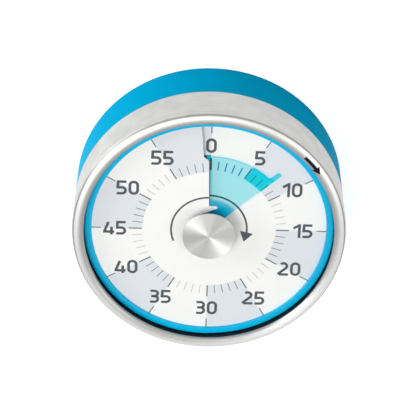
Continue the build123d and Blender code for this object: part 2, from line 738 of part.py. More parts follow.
with BuildPart() as lifting_pin:
    with BuildSketch(Plane.XY.offset(main_wheel_z)):
        with Locations(lift_pin_at):
            Circle(LIFT_PIN_R)
    extrude(amount=MAIN_WHEEL_T + LIFT_PIN_H)
write(lifting_pin, "lifting_pin")

ratchet_wheel = wheel(
    saw_outline(RATCHET_TEETH, RATCHET_R, RATCHET_R - RATCHET_DEPTH, CLICK_ANGLE), main_at, ratchet_z,
    RATCHET_T, ARBOR_R + SEAM)
write(ratchet_wheel, "ratchet_wheel")

click_tip = at(RATCHET_R + CLICK_GAP, CLICK_ANGLE - 180 / RATCHET_TEETH)
with BuildPart() as click:
    with BuildSketch(Plane.XY.offset(ratchet_z)):
        with Locations(click_at):
            Circle(CLICK_W / 2)
        with BuildLine():
            heel = (click_at - click_tip).normalized().rotate(Axis.Z, 90) * (CLICK_W / 2)
            Polyline(click_tip, click_at + heel, click_at - heel, close=True)
        make_face()
    extrude(amount=RATCHET_T)
    with BuildSketch(Plane.XY.offset(ratchet_z)):
        with Locations(click_at):
            Circle(CLICK_PIN_R)
    extrude(amount=main_wheel_top - ratchet_z)
write(click, "click")

# each pinion has a tooth gap facing the wheel that drives it
second_pinion_z = main_wheel_z - PINION_OVER
second_pinion = pinion(
    gear_outline(
        SECOND_PINION_TEETH, FIRST_MODULE, bearing(second_at, main_at) + 180 / SECOND_PINION_TEETH),
    second_at, second_pinion_z, second_wheel_z - SEAM - second_pinion_z,
    second_wheel_z + WHEEL_T + SEAM, COLLAR_H)
write(second_pinion, "second_pinion")

second_wheel = wheel(
    gear_outline(SECOND_TEETH, SECOND_MODULE, bearing(second_at, third_at)), second_at, second_wheel_z,
    WHEEL_T, SHAFT_R + SEAM, SECOND_HOLE_CIRCLE, SECOND_HOLE_R)
write(second_wheel, "second_wheel")

third_pinion = pinion(
    gear_outline(
        THIRD_PINION_TEETH, SECOND_MODULE, bearing(third_at, second_at) + 180 / THIRD_PINION_TEETH),
    third_at, second_wheel_z - PINION_OVER, WHEEL_T + 2 * PINION_OVER, third_wheel_z + WHEEL_T + SEAM,
    COLLAR_H)
write(third_pinion, "third_pinion")

third_wheel = wheel(
    gear_outline(THIRD_TEETH, THIRD_MODULE, bearing(third_at, escape_at)), third_at, third_wheel_z,
    WHEEL_T, SHAFT_R + SEAM, THIRD_HOLE_CIRCLE, THIRD_HOLE_R)
write(third_wheel, "third_wheel")

escape_pinion_z = third_wheel_z - PINION_OVER
escape_collar_z = escape_wheel_z + WHEEL_T + SEAM
escape_pinion = pinion(
    gear_outline(
        ESCAPE_PINION_TEETH, THIRD_MODULE, bearing(escape_at, third_at) + 180 / ESCAPE_PINION_TEETH),
    escape_at, escape_pinion_z, WHEEL_T + 2 * PINION_OVER, escape_collar_z,
    escape_pinion_z - escape_collar_z)
write(escape_pinion, "escape_pinion")

escape_wheel = wheel(
    saw_outline(ESCAPE_TEETH, ESCAPE_R, ESCAPE_R - ESCAPE_DEPTH, 0), escape_at, escape_wheel_z, WHEEL_T,
    SHAFT_R + SEAM, ESCAPE_HOLE_CIRCLE, ESCAPE_HOLE_R)
write(escape_wheel, "escape_wheel")

# ---- balance: a rim on an arbor, and two pallet pins that stand off the escape wheel ----

to_escape = bearing(balance_at, escape_at)
balance_plane = Plane(
    origin=(balance_at.X, balance_at.Y, 0), x_dir=at(1, to_escape), z_dir=(0, 0, 1))
pin_r = PALLET_ARM_W / 2
closest = radians(PALLET_SPAN - PALLET_SWING)
clear_r = ESCAPE_R + PALLET_GAP + pin_r
pallet_r = BALANCE_DISTANCE * cos(closest) - sqrt(clear_r**2 - (BALANCE_DISTANCE * sin(closest)) ** 2)

with BuildPart() as balance_arbor:
    with BuildSketch(balance_plane.offset(train_z + FIT)):
        Circle(SHAFT_R)
    extrude(amount=PLATE_SPACE - 2 * FIT)
    with BuildSketch(balance_plane.offset(back_plate_z + FIT)):
        Circle(PIVOT_R)
    extrude(amount=PLATE_SPACE + 2 * PLATE_T - 2 * FIT)
    with BuildSketch(balance_plane.offset(balance_rim_z - COLLAR_H)):
        Circle(COLLAR_R)
    extrude(amount=COLLAR_H - SEAM)
write(balance_arbor, "balance_arbor")

with BuildPart() as balance_wheel:
    with BuildSketch(balance_plane.offset(balance_rim_z)):
        Circle(BALANCE_R)
        Circle(BALANCE_R - BALANCE_RIM, mode=Mode.SUBTRACT)
        Rectangle(2 * BALANCE_R - BALANCE_RIM, BALANCE_SPOKE_W)
        Circle(COLLAR_R)
        Circle(SHAFT_R + SEAM, mode=Mode.SUBTRACT)
    extrude(amount=BALANCE_T)
write(balance_wheel, "balance_wheel")

with BuildPart() as pallets:
    with BuildSketch(balance_plane.offset(escape_wheel_z)):
        with PolarLocations(0, 2, start_angle=PALLET_SPAN, angular_range=-2 * PALLET_SPAN, endpoint=True):
            with Locations((pallet_r / 2, 0)):
                SlotCenterToCenter(pallet_r, PALLET_ARM_W)
        Circle(COLLAR_R)
        Circle(SHAFT_R + SEAM, mode=Mode.SUBTRACT)
    extrude(amount=WHEEL_T)
write(pallets, "pallets")

# ---- plates and pillars ----

pillar_places = [at(PILLAR_CIRCLE, angle) for angle in PILLAR_ANGLES]
pivot_places = [second_at, third_at, escape_at, balance_at]

with BuildPart() as back_plate:
    with BuildSketch(Plane.XY.offset(back_plate_z)):
        Circle(PLATE_R)
        Circle(ARBOR_PIVOT_R + FIT, mode=Mode.SUBTRACT)
        with Locations(*pivot_places):
            Circle(PIVOT_R + FIT, mode=Mode.SUBTRACT)
        with Locations(*pillar_places):
            Circle(PILLAR_SPIGOT_R + SEAM, mode=Mode.SUBTRACT)
        with Locations(hammer_at):
            Circle(HAMMER_SHAFT_R + FIT, mode=Mode.SUBTRACT)
    extrude(amount=PLATE_T)
write(back_plate, "back_plate")

with BuildPart() as front_plate:
    with BuildSketch(Plane.XY.offset(front_plate_z)):
        Circle(PLATE_R)
        Circle(ARBOR_R + FIT, mode=Mode.SUBTRACT)
        with Locations(*pivot_places, hammer_at):
            Circle(PIVOT_R + FIT, mode=Mode.SUBTRACT)
        with Locations(*pillar_places):
            Circle(SMALL_SCREW_R + FIT, mode=Mode.SUBTRACT)
        with Locations(*boss_places):
            Circle(FRAME_SCREW_R + SEAM, mode=Mode.SUBTRACT)
    extrude(amount=PLATE_T)
write(front_plate, "front_plate")

with BuildPart() as pillars:
    with BuildSketch(Plane.XY.offset(train_z)):
        with Locations(*pillar_places):
            Circle(PILLAR_R)
    extrude(amount=PLATE_SPACE)
    with BuildSketch(Plane.XY.offset(back_plate_z)):
        with Locations(*pillar_places):
            Circle(PILLAR_SPIGOT_R)
    extrude(amount=PLATE_T)
    with BuildSketch(Plane.XY.offset(front_plate_z)):
        with Locations(*pillar_places):
            Circle(SMALL_SCREW_R + SEAM)
    extrude(amount=-SMALL_SCREW_LENGTH, mode=Mode.SUBTRACT)
write(pillars, "pillars")

plate_screws = screw_group(
    pillar_places, front_plate_top, SMALL_HEAD_R, SMALL_HEAD_H, SMALL_SCREW_R,
    PLATE_T + SMALL_SCREW_LENGTH - FIT, False)
write(plate_screws, "plate_screws")

# ---- mainspring in its barrel ----

barrel_bore = BARREL_R - BARREL_WALL
barrel_floor = train_z + BARREL_WALL

with BuildPart() as spring_barrel:
    with BuildSketch(Plane.XY.offset(train_z)):
        Circle(BARREL_R)
    extrude(amount=BARREL_H)
    with BuildSketch(Plane.XY.offset(barrel_floor)):
        Circle(barrel_bore)
    extrude(amount=BARREL_H, mode=Mode.SUBTRACT)
    with BuildSketch(Plane.XY.offset(train_z)):
        Circle(ARBOR_R + RUN)
    extrude(amount=BARREL_WALL, mode=Mode.SUBTRACT)
write(spring_barrel, "spring_barrel")

spring_inner = ARBOR_R + FIT
spring_outer = barrel_bore - SPRING_T - FIT
spiral_steps = 360 * SPRING_TURNS // SPRING_STEP


def spiral(offset):
    """Points along one face of the coiled strip, from its inner to its outer end."""
    growth = (spring_outer - spring_inner) / spiral_steps
    return [at(spring_inner + offset + growth * i, SPRING_STEP * i) for i in range(spiral_steps + 1)]


with BuildPart() as mainspring:
    with BuildSketch(Plane.XY.offset(barrel_floor + FIT)):
        with BuildLine():
            inner_face = Spline(*spiral(0))
            outer_face = Spline(*spiral(SPRING_T))
            Line(inner_face @ 0, outer_face @ 0)
            Line(inner_face @ 1, outer_face @ 1)
        make_face()
    extrude(amount=SPRING_H)
write(mainspring, "mainspring")

# ---- bell and hammer ----

bell_bore = BELL_R - BELL_T
with BuildPart() as bell:
    with BuildSketch(Plane.XY.offset(bell_z)):
        Circle(BELL_R)
    extrude(amount=BELL_H)
    fillet(bell.edges().group_by(Axis.Z)[0], BELL_ROUND)
    with BuildSketch(Plane.XY.offset(bell_z + BELL_T)):
        Circle(bell_bore)
    extrude(amount=BELL_H, mode=Mode.SUBTRACT)
    with BuildSketch(Plane.XY.offset(bell_z)):
        Circle(BELL_SCREW_R + FIT)
    extrude(amount=BELL_T, mode=Mode.SUBTRACT)
write(bell, "bell")

with BuildPart() as bell_post:
    with BuildSketch(Plane.XY.offset(bell_z + BELL_T)):
        Circle(BELL_POST_R)
    extrude(amount=BELL_POST_H)
    with BuildSketch(Plane.XY.offset(back_plate_z)):
        Circle(BELL_FLANGE_R)
    extrude(amount=-BELL_FLANGE_T)
    with BuildSketch(Plane.XY.offset(bell_z)):
        Circle(BELL_SCREW_R + SEAM)
    extrude(amount=BELL_SCREW_LENGTH + FIT, mode=Mode.SUBTRACT)
write(bell_post, "bell_post")

bell_screw = screw_group(
    [main_at], bell_z - BELL_HEAD_H, BELL_HEAD_R, BELL_HEAD_H, BELL_SCREW_R, BELL_SCREW_LENGTH, True)
write(bell_screw, "bell_screw")

hammer_z = bell_z + BELL_T + HAMMER_RISE
head_at = at(bell_bore - HAMMER_GAP - HAMMER_HEAD_R, HAMMER_ANGLE - HAMMER_REACH)
arm_length = (head_at - hammer_at).length
arm_plane = Plane(
    origin=(hammer_at.X, hammer_at.Y, hammer_z), x_dir=head_at - hammer_at, z_dir=(0, 0, 1))

with BuildPart() as hammer:
    with BuildSketch(arm_plane):
        with Locations((arm_length / 2, 0)):
            Rectangle(arm_length, HAMMER_ARM_W)
        with Locations((arm_length, 0)):
            Circle(HAMMER_HEAD_R)
        Circle(HAMMER_HUB_R)
        Circle(HAMMER_SHAFT_R + SEAM, mode=Mode.SUBTRACT)
    extrude(amount=HAMMER_T)
write(hammer, "hammer")

# the lever reaches across the lifting pin's path, and slips off the pin as it swings outwards
lever_tip = at(LIFT_PIN_CIRCLE, HAMMER_ANGLE + LEVER_REACH)
lever_length = (lever_tip - hammer_at).length
lever_plane = Plane(
    origin=(hammer_at.X, hammer_at.Y, lever_z), x_dir=lever_tip - hammer_at, z_dir=(0, 0, 1))
with BuildPart() as hammer_lever:
    with BuildSketch(lever_plane):
        with Locations((lever_length / 2, 0)):
            Rectangle(lever_length, LEVER_W)
        with Locations((lever_length, 0)):
            Circle(LEVER_W / 2)
        Circle(HAMMER_HUB_R)
        Circle(HAMMER_SHAFT_R + SEAM, mode=Mode.SUBTRACT)
    extrude(amount=LEVER_T)
write(hammer_lever, "hammer_lever")

with BuildPart() as hammer_arbor:
    with BuildSketch(Plane(origin=(hammer_at.X, hammer_at.Y, hammer_z))):
        Circle(HAMMER_SHAFT_R)
    extrude(amount=front_plate_z - hammer_z - FIT)
    with BuildSketch(Plane(origin=(hammer_at.X, hammer_at.Y, hammer_z))):
        Circle(PIVOT_R)
    extrude(amount=front_plate_top - hammer_z - FIT)
write(hammer_arbor, "hammer_arbor")

coil_r = HAMMER_SHAFT_R + COIL_PLAY + COIL_WIRE_R
coil_z = train_z + COIL_RISE
with BuildPart() as hammer_spring:
    with BuildLine():
        Helix(COIL_PITCH, COIL_PITCH * COIL_TURNS, coil_r, (hammer_at.X, hammer_at.Y, coil_z))
    with BuildSketch(Plane(origin=(hammer_at.X + coil_r, hammer_at.Y, coil_z), z_dir=(0, 1, 0))):
        Circle(COIL_WIRE_R)
    sweep(is_frenet=True)
write(hammer_spring, "hammer_spring")
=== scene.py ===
import json
from math import atan2, ceil, cos, degrees, radians, sin, sqrt

import bmesh
import bpy
from mathutils import Matrix, Vector


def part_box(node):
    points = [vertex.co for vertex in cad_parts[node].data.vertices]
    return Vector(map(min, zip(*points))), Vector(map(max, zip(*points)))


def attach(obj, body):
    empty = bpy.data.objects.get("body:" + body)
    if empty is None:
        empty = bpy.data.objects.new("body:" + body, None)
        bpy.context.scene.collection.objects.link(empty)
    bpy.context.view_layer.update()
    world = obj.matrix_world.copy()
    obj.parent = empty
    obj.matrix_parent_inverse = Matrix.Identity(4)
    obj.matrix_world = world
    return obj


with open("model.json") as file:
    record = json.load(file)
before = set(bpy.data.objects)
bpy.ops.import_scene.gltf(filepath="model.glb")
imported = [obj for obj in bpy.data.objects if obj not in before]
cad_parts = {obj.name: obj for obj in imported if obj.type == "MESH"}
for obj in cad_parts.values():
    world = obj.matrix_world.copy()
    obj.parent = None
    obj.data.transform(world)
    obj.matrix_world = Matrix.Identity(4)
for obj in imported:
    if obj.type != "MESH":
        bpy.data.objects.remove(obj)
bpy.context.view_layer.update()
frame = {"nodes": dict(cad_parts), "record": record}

# A 60 minute countdown timer on its back. +Z is out of the dial, +Y is its 0 and +X its 15.
# Dial angles are degrees clockwise from 0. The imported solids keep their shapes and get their
# finishes here, and everything printed on the dial and on the steel ring is added as thin pieces.

MM = 0.001

# ---- sizes ----

MINUTE = 6                    # degrees of the dial
PITCH = 1.3 * MM              # rise of the spiral dial in one turn
TONGUE_TIP = 18               # degrees that the dial's tongue runs on past one turn
GREY_SECTORS = 6              # grey sectors round the dial, each five minutes wide
GREY_INNER = 19.5 * MM        # they run from here to the rim
SECTOR_EDGE = 0.005           # softness of their straight edges
PRINT_EDGE = 0.05 * MM        # softness of a printed circle
INK_T = 0.04 * MM             # dry ink on the dial
INK_SINK = 0.03 * MM          # how far a print's underside lies below the surface it is on

TICK_INNER = 19.6 * MM
MINUTE_TICK = (2.9 * MM, 0.23 * MM)         # length and width
BLUE_TICK = (2.9 * MM, 0.33 * MM)           # the first four minutes
FIVE_TICK = (3.9 * MM, 0.35 * MM)
ZERO_TICK = (3.9 * MM, 0.55 * MM)
RIM_TICK_INNER = 31.6 * MM
RIM_TICK_W = 0.3 * MM

NUMERAL_CIRCLE = 27.6 * MM
NUMERAL_H = 4.7 * MM
NUMERAL_STROKE = 0.8 * MM
NUMERAL_GAP = 0.5 * MM
NUMERAL_NUDGE = {             # millimetres right and up, where a number stands off its circle
    "5": (0.3, 0.0), "10": (-0.1, -0.15), "15": (-0.1, -0.1), "20": (0.45, 0.5),
    "25": (0.3, 0.1), "35": (-0.1, 0.05), "40": (-0.3, 0.35), "50": (0.1, -0.1),
    "55": (-0.15, 0.0)}

TURN_ARROW_R = 11.1 * MM      # arrow round the knob, and the dial angles that it runs through
TURN_ARROW_W = 0.54 * MM
TURN_ARROW_START = 248.6
TURN_ARROW_BREAK = 358.4      # the slot cuts its line from here to 0
TURN_ARROW_END = 95
TURN_HEAD_END = 112
TURN_HEAD_HALF_W = 1.97 * MM

SLOT_LAP = 3                  # degrees that the dial's low end runs on under the slot
SLOT_INNER = 8.3 * MM

BEAD_W = 3.45 * MM            # bead of the steel ring, lip to outside
BEAD_RISE = 1.0 * MM          # crest above the lip
BEAD_DROP = 1.9 * MM          # crest above the straight band
BEAD_SLOPE_SHADE = (37.4 * MM, 38.5 * MM)         # its inner slope is painted darker up to here, as painted shade, and bright from here
CREASE_R = 39.54 * MM         # fine groove on the bead's shoulder
RING_ARROW_R = 37.9 * MM      # arrow on the bead
RING_ARROW_START = 44.7
RING_ARROW_LENGTH = 7.05 * MM
RING_ARROW_W = 1.0 * MM
RING_HEAD_LENGTH = 2.2 * MM
RING_HEAD_W = 2.5 * MM

DISC_R = 24.3 * MM            # time disc, of tinted film
FILM_EDGE = 8 * MINUTE        # its leading edge at rest
FILM_DARK_START = 5 * MINUTE  # it is printed darker from here to its leading edge
FILM_DARK_END = FILM_EDGE + 1
FILM_DARK_SOFT = 0.1          # degrees in which the darker print fades
HUB_SHADOW_SPAN = (8.0 * MM, 10.2 * MM)           # painted shadow of the knob: solid on the film up to here, and fades out to here
HUB_SHADE = (5.8 * MM, 8.2 * MM)            # the painted shadow turns from deep to light blue
ARC_STEP = 6                  # degrees between points of a drawn arc

dial_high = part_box("dial_plate")[1]
dial_zero = dial_high.z - PITCH * (1 + TONGUE_TIP / 360)     # top of the dial at 0
dial_r = dial_high.x
ring_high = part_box("steel_ring")[1]
body_r = ring_high.x
ring_top = ring_high.z


def on_dial(radius, angle):
    """A point at a radius and a dial angle, in the plane of the dial."""
    return Vector((radius * sin(radians(angle)), radius * cos(radians(angle)), 0))


def dial_height(angle):
    """Height of the spiral dial's top at a dial angle; past 360 it is on the upper end."""
    return dial_zero + PITCH * angle / 360


# ---- nodes ----

def node(tree, kind, settings=None, inputs=None):
    """A shader node with its settings, and each input set to a value or joined to a socket."""
    made = tree.nodes.new("ShaderNode" + kind)
    for name, value in (settings or {}).items():
        setattr(made, name, value)
    for name, value in (inputs or {}).items():
        if isinstance(value, bpy.types.NodeSocket):
            tree.links.new(value, made.inputs[name])
        else:
            made.inputs[name].default_value = value
    return made


def maths(tree, operation, *values):
    """The result of a Math node."""
    inputs = dict(enumerate(values))
    return node(tree, "Math", {"operation": operation}, inputs).outputs[0]


def between(tree, value, low, high, start=0.0, end=1.0):
    """value mapped from low..high to start..end, clamped."""
    inputs = {"Value": value, "From Min": low, "From Max": high, "To Min": start, "To Max": end}
    return node(tree, "MapRange", None, inputs).outputs["Result"]


def mixed(tree, factor, first, second):
    """A colour between two colours."""
    made = node(tree, "Mix", {"data_type": "RGBA"}, {0: factor, 6: first, 7: second})
    return made.outputs[2]


def blended(tree, share, first, second):
    """A surface between two surfaces."""
    return node(tree, "MixShader", None, {0: share, 1: first, 2: second}).outputs[0]


def noise(tree, place, scale, detail):
    """Soft noise round 0.5."""
    inputs = {"Vector": place, "Scale": scale, "Detail": detail}
    return node(tree, "TexNoise", None, inputs).outputs["Fac"]


def object_place(tree):
    """The place of a point, measured from the middle of the timer's back."""
    return node(tree, "TexCoord").outputs["Object"]


def shared(tree, group_tree, **inputs):
    """The outputs of one of the node groups."""
    return node(tree, "Group", {"node_tree": group_tree}, inputs).outputs


def colour(red, green, blue):
    """A colour written as it looks on screen, 0 to 255, made linear."""
    shares = [channel / 255 for channel in (red, green, blue)]
    return [s / 12.92 if s <= 0.04045 else ((s + 0.055) / 1.055) ** 2.4 for s in shares] + [1]


def group(name, inputs, outputs):
    """An empty node group with named float inputs and outputs; gives the tree and its two ends."""
    tree = bpy.data.node_groups.new(name, "ShaderNodeTree")
    for label, value in inputs.items():
        socket = tree.interface.new_socket(label, in_out="INPUT", socket_type="NodeSocketFloat")
        socket.default_value = value
    for label in outputs:
        tree.interface.new_socket(label, in_out="OUTPUT", socket_type="NodeSocketFloat")
    return tree, tree.nodes.new("NodeGroupInput"), tree.nodes.new("NodeGroupOutput")


FINE_LINES = 9000.0           # brushed or turned lines in a metre
COARSE_LINES = 2200.0
KNOB_LINES = 7000.0
INSIDE_LINES = 14000.0
LINE_BREAKS = 220.0           # breaks in the lines, in a metre
MOTTLE_FINER = 20.0           # how much finer the grain of a surface is than its clouds


def make_polar_group():
    """Where a point lies round the timer's axis: its radius, dial angle in radians and height."""
    tree, _, ends = group("polar place", {}, ("Radius", "Angle", "Height"))
    x, y, z = node(tree, "SeparateXYZ", None, {0: object_place(tree)}).outputs
    squares = maths(tree, "ADD", maths(tree, "MULTIPLY", x, x), maths(tree, "MULTIPLY", y, y))
    tree.links.new(maths(tree, "SQRT", squares), ends.inputs["Radius"])
    tree.links.new(maths(tree, "ARCTAN2", x, y), ends.inputs["Angle"])
    tree.links.new(z, ends.inputs["Height"])
    return tree


def make_grain_group():
    """Fine lines left by turning or brushing round the axis, 0 to 1, broken up a little."""
    tree, given, ends = group("turned grain", {"Lines": FINE_LINES}, ("Grain",))
    polar = shared(tree, polar_group)
    across = maths(tree, "MULTIPLY", polar["Radius"], given.outputs["Lines"])
    up = maths(tree, "MULTIPLY", polar["Height"], given.outputs["Lines"])
    lines_at = node(tree, "CombineXYZ", None, {"X": across, "Y": up}).outputs[0]
    lines = noise(tree, lines_at, 1.0, 2.0)
    breaks = noise(tree, object_place(tree), LINE_BREAKS, 1.0)
    grain = maths(tree, "MULTIPLY_ADD", breaks, 0.35, lines)
    tree.links.new(between(tree, grain, 0.35, 1.0), ends.inputs["Grain"])
    return tree


def make_mottle_group():
    """Soft unevenness of a moulded or printed surface, and its fine grain, each 0 to 1."""
    tree, given, ends = group("mottle", {"Scale": 300.0}, ("Cloud", "Grain"))
    place = object_place(tree)
    fine = maths(tree, "MULTIPLY", given.outputs["Scale"], MOTTLE_FINER)
    tree.links.new(noise(tree, place, given.outputs["Scale"], 2.0), ends.inputs["Cloud"])
    tree.links.new(noise(tree, place, fine, 1.0), ends.inputs["Grain"])
    return tree


def make_sector_group():
    """1 inside the grey sectors 5 to 10, 15 to 20 and so on, at any radius."""
    tree, _, ends = group("grey sectors", {}, ("Sector",))
    angle = shared(tree, polar_group)["Angle"]
    wave = maths(tree, "SINE", maths(tree, "MULTIPLY", angle, GREY_SECTORS))
    tree.links.new(between(tree, wave, SECTOR_EDGE, -SECTOR_EDGE), ends.inputs["Sector"])
    return tree


polar_group = make_polar_group()
grain_group = make_grain_group()
mottle_group = make_mottle_group()
sector_group = make_sector_group()


# ---- materials ----

NOISE_SPAN = (0.3, 0.7)       # nearly all of the noise lies between these
GLOSS_PLAY = 0.04             # how far a moulded surface's roughness strays
FINE_DEPTH = 0.01 * MM        # depth of the finest marks


def material(name):
    """An empty material; gives it with its tree and the Surface socket of its output."""
    made = bpy.data.materials.new(name)
    made.use_nodes = True
    tree = made.node_tree
    tree.nodes.clear()
    return made, tree, tree.nodes.new("ShaderNodeOutputMaterial").inputs["Surface"]


def bumped(tree, height, strength, depth):
    """A normal raised by a height of 0 to 1."""
    inputs = {"Height": height, "Strength": strength, "Distance": depth}
    return node(tree, "Bump", None, inputs).outputs[0]


def plastic(name, pale, dark, roughness, scale=120.0, index=1.45):
    """Moulded plastic: a little uneven in colour and gloss, with a fine skin."""
    made, tree, surface = material(name)
    mottle = shared(tree, mottle_group, Scale=scale)
    rough = (roughness - GLOSS_PLAY, roughness + GLOSS_PLAY)
    shader = node(tree, "BsdfPrincipled", None, {
        "Base Color": mixed(tree, mottle["Cloud"], dark, pale),
        "Roughness": between(tree, mottle["Cloud"], *NOISE_SPAN, *rough),
        "IOR": index,
        "Normal": bumped(tree, mottle["Grain"], 0.08, 2 * FINE_DEPTH)})
    tree.links.new(shader.outputs[0], surface)
    return made


def metal(name, tint, low, high, lines=FINE_LINES):
    """Metal turned round its axis, with the lines in its colour and gloss."""
    made, tree, surface = material(name)
    grain = shared(tree, grain_group, Lines=lines)["Grain"]
    darker = [0.9 * channel for channel in tint[:3]] + [1]
    shader = node(tree, "BsdfPrincipled", None, {
        "Base Color": mixed(tree, grain, darker, tint),
        "Metallic": 1.0,
        "Roughness": between(tree, grain, 0.0, 1.0, low, high),
        "Normal": bumped(tree, grain, 0.15, FINE_DEPTH)})
    tree.links.new(shader.outputs[0], surface)
    return made


def stretched(tree, steel, roughness, stretch, normal):
    """Steel brushed round the axis, whose highlights stretch across its lines."""
    around = node(tree, "Tangent", {"direction_type": "RADIAL", "axis": "Z"}).outputs[0]
    return node(tree, "BsdfPrincipled", None, {
        "Base Color": steel,
        "Metallic": 1.0,
        "Roughness": roughness,
        "Anisotropic": stretch,
        "Anisotropic Rotation": 0.25,
        "Tangent": around,
        "Normal": normal}).outputs[0]


RING_BRUSHED = ((0.52, 0.518, 0.50, 1), (0.60, 0.598, 0.58, 1))    # from line to line
RING_COARSE = (0.43, 0.428, 0.414, 1)      # in the deeper lines
RING_CLOUD = (0.48, 0.478, 0.462, 1)       # in soft patches
RING_CROWN_HIGHLIGHT = (0.66, 0.657, 0.643, 1)       # crown of the bead, painted paler: a painted highlight
RING_SLOPE_SHADE = (0.28, 0.28, 0.273, 1)        # inner slope of the bead, painted darker: painted shade
# painted shade in the crease of the bead
RING_CREASE_SHADE = (0.14, 0.14, 0.135, 1)


def ring_steel():
    """Drawn ring, brushed round its axis, with a painted highlight on the bead's crown and painted
    shade on its inner slope and in its crease.
    """
    made, tree, surface = material("brushed ring steel")
    radius = shared(tree, polar_group)["Radius"]
    fine = shared(tree, grain_group, Lines=FINE_LINES)["Grain"]
    coarse = shared(tree, grain_group, Lines=COARSE_LINES)["Grain"]
    cloud = shared(tree, mottle_group, Scale=60.0)["Cloud"]
    # Painted shade along the crease: the steel is darkened in a band round CREASE_R.
    rise = between(tree, radius, CREASE_R - 0.25 * MM, CREASE_R - 0.05 * MM)
    fall = between(tree, radius, CREASE_R + 0.1 * MM, CREASE_R + 0.3 * MM, 1.0, 0.0)
    crease = maths(tree, "MULTIPLY", rise, fall)
    steel = mixed(tree, fine, *RING_BRUSHED)
    for share, layer in (
            (between(tree, coarse, *NOISE_SPAN, 0.8, 0.0), RING_COARSE),
            (between(tree, cloud, 0.35, 0.65, 0.0, 0.25), RING_CLOUD),
            (between(tree, radius, CREASE_R - 0.05 * MM, CREASE_R - 0.3 * MM), RING_CROWN_HIGHLIGHT),
            (between(tree, radius, *BEAD_SLOPE_SHADE, 0.8, 0.0), RING_SLOPE_SHADE),
            (maths(tree, "MULTIPLY", crease, 0.6), RING_CREASE_SHADE)):
        steel = mixed(tree, share, steel, layer)
    roughness = between(tree, fine, 0.0, 1.0, 0.36, 0.46)
    normal = bumped(tree, coarse, 0.2, FINE_DEPTH)
    tree.links.new(stretched(tree, steel, roughness, 0.6, normal), surface)
    return made


KNOB_HIGHLIGHT_WEDGE = ((0.55, 0.548, 0.532, 1), (0.61, 0.608, 0.59, 1))      # painted highlight wedges, from ring to ring
# painted shade wedges, from ring to ring
KNOB_SHADE_WEDGE = ((0.48, 0.478, 0.463, 1), (0.53, 0.528, 0.512, 1))


def spun_metal():
    """Face turned in a lathe: fine rings, wide wedges of light, and wedges painted paler and darker
    as painted highlight and shade.
    """
    made, tree, surface = material("spun steel")
    rings = shared(tree, grain_group, Lines=KNOB_LINES)["Grain"]
    level = {0: object_place(tree), 1: (1, 1, 0)}
    flat = node(tree, "VectorMath", {"operation": "MULTIPLY"}, level).outputs[0]
    outwards = node(tree, "VectorMath", {"operation": "NORMALIZE"}, {0: flat}).outputs[0]
    # Wedges round the face painted paler and darker: painted highlight and shade.
    wedges = between(tree, noise(tree, outwards, 1.5, 1.0), 0.4, 0.6)
    pale = mixed(tree, rings, *KNOB_HIGHLIGHT_WEDGE)
    dull = mixed(tree, rings, *KNOB_SHADE_WEDGE)
    roughness = between(tree, rings, 0.0, 1.0, 0.44, 0.5)
    normal = bumped(tree, rings, 0.15, FINE_DEPTH)
    steel = mixed(tree, wedges, dull, pale)
    tree.links.new(stretched(tree, steel, roughness, 0.9, normal), surface)
    return made


def printed_dial():
    """White printed sheet with its grey sectors."""
    made, tree, surface = material("printed dial")
    mottle = shared(tree, mottle_group, Scale=200.0)
    radius = shared(tree, polar_group)["Radius"]
    sector = shared(tree, sector_group)["Sector"]
    inside = between(tree, radius, GREY_INNER, GREY_INNER + PRINT_EDGE)
    grey = mixed(tree, mottle["Grain"], colour(221, 224, 229), colour(229, 232, 236))
    white = mixed(tree, mottle["Cloud"], colour(246, 246, 243), colour(250, 250, 247))
    shader = node(tree, "BsdfPrincipled", None, {
        "Base Color": mixed(tree, maths(tree, "MULTIPLY", inside, sector), white, grey),
        "Roughness": between(tree, mottle["Cloud"], *NOISE_SPAN, 0.5, 0.6),
        "Normal": bumped(tree, mottle["Grain"], 0.05, FINE_DEPTH)})
    tree.links.new(shader.outputs[0], surface)
    return made


def ink(name, on_white, on_grey=None):
    """Dry ink, which can look different on the white and on the grey sectors."""
    made, tree, surface = material(name)
    mottle = shared(tree, mottle_group, Scale=900.0)
    sector = shared(tree, sector_group)["Sector"]
    body = mixed(tree, sector, on_white, on_grey or on_white)
    faded = node(tree, "HueSaturation", None, {"Value": 1.12, "Color": body}).outputs[0]
    shader = node(tree, "BsdfPrincipled", None, {
        "Base Color": mixed(tree, mottle["Cloud"], body, faded),
        "Roughness": between(tree, mottle["Grain"], *NOISE_SPAN, 0.5, 0.62),
        "Specular IOR Level": 0.1})
    tree.links.new(shader.outputs[0], surface)
    return made


FILM_CLEAR = ((0.635, 0.95, 1.0, 1), (0.675, 0.96, 1.0, 1))        # what one sheet lets through
FILM_DARK = (0.13, 0.93, 1.0, 1)           # where it is printed darker
FILM_RIM = (0.05, 0.70, 0.95, 1)           # at its round edge
FILM_FINGER = (0.3, 0.92, 1.0, 1)          # in its pointer finger
FILM_BODY = 0.004                          # share of the light that the clear film throws back
HUB_SHADOW_BODY = 0.92                            # and that the painted knob shadow does
